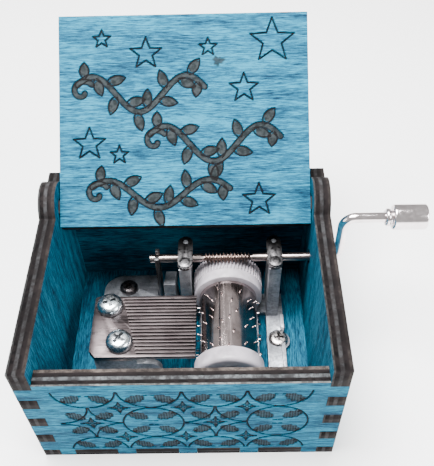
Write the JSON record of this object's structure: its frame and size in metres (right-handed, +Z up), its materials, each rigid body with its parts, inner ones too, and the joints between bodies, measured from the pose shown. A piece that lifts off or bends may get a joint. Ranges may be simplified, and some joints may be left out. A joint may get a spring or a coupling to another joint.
{
  "type": "hand-cranked music box",
  "caption": "Small wooden hand-cranked music box: finger-jointed case with a swing lid over a pinned-cylinder comb movement turned by a worm.",
  "frame": {"origin": "centre of the case's underside", "axes": "+Z up, -Y the front wall, +X the side with the crank; the lid is drawn open, as it rests"},
  "size_m": [0.0846, 0.0817, 0.0585],
  "materials": {
    "plywood": "blue-stained matt plywood with laser-burnt edges",
    "cast_zinc": "dull grey zinc die casting",
    "cap_steel": "satin grey steel",
    "dark_steel": "blackened steel",
    "nickel": "polished nickel",
    "comb_steel": "satin brownish steel",
    "zinc_plate": "bright zinc plate",
    "white_plastic": "milky white moulded plastic",
    "shaft_steel": "turned steel",
    "crank_nickel": "polished nickel"
  },
  "bodies": {
    "case": {"base_panel": "plywood", "front_panel": "plywood", "rear_panel": "plywood", "left_side_panel": "plywood", "right_side_panel": "plywood", "bedplate": "cast_zinc", "left_bearing_cap": "cap_steel", "right_bearing_cap": "cap_steel", "left_cap_rivet": "cap_steel", "right_cap_rivet": "cap_steel", "shaft_fork": "cap_steel", "base_screw_left": "dark_steel", "base_screw_right": "nickel", "base_screw_front": "nickel", "comb": "comb_steel", "comb_screw_rear": "zinc_plate", "comb_screw_front": "zinc_plate", "cylinder_arbor": "shaft_steel"},
    "lid": {"lid": "plywood"},
    "crank": {"worm_shaft": "shaft_steel", "crank_arm": "crank_nickel"},
    "knob": {"crank_knob": "crank_nickel"},
    "cylinder": {"cylinder": "nickel", "worm_wheel": "white_plastic", "cylinder_end_cap": "white_plastic"}
  },
  "joints": [
    {"name": "lid_hinge", "type": "hinge", "parent": "case", "child": "lid", "pos_m": [0, 0.0179, 0.03175], "axis": [1, 0, 0], "range_deg": [0, 144.06]},
    {"name": "crank_spin", "type": "hinge", "parent": "case", "child": "crank", "pos_m": [0.0294, 0.0114, 0.02145], "axis": [1, 0, 0], "continuous": true},
    {"name": "knob_spin", "type": "hinge", "parent": "crank", "child": "knob", "pos_m": [0.048, 0.0114, 0.03375], "axis": [1, 0, 0], "continuous": true},
    {"name": "cylinder_spin", "type": "hinge", "parent": "case", "child": "cylinder", "pos_m": [0.0094, 0, 0.01252], "axis": [0, 1, 0], "continuous": true}
  ],
  "couplings": [
    {"joint": "cylinder_spin", "follows": "crank_spin", "ratio": -0.016667}
  ]
}
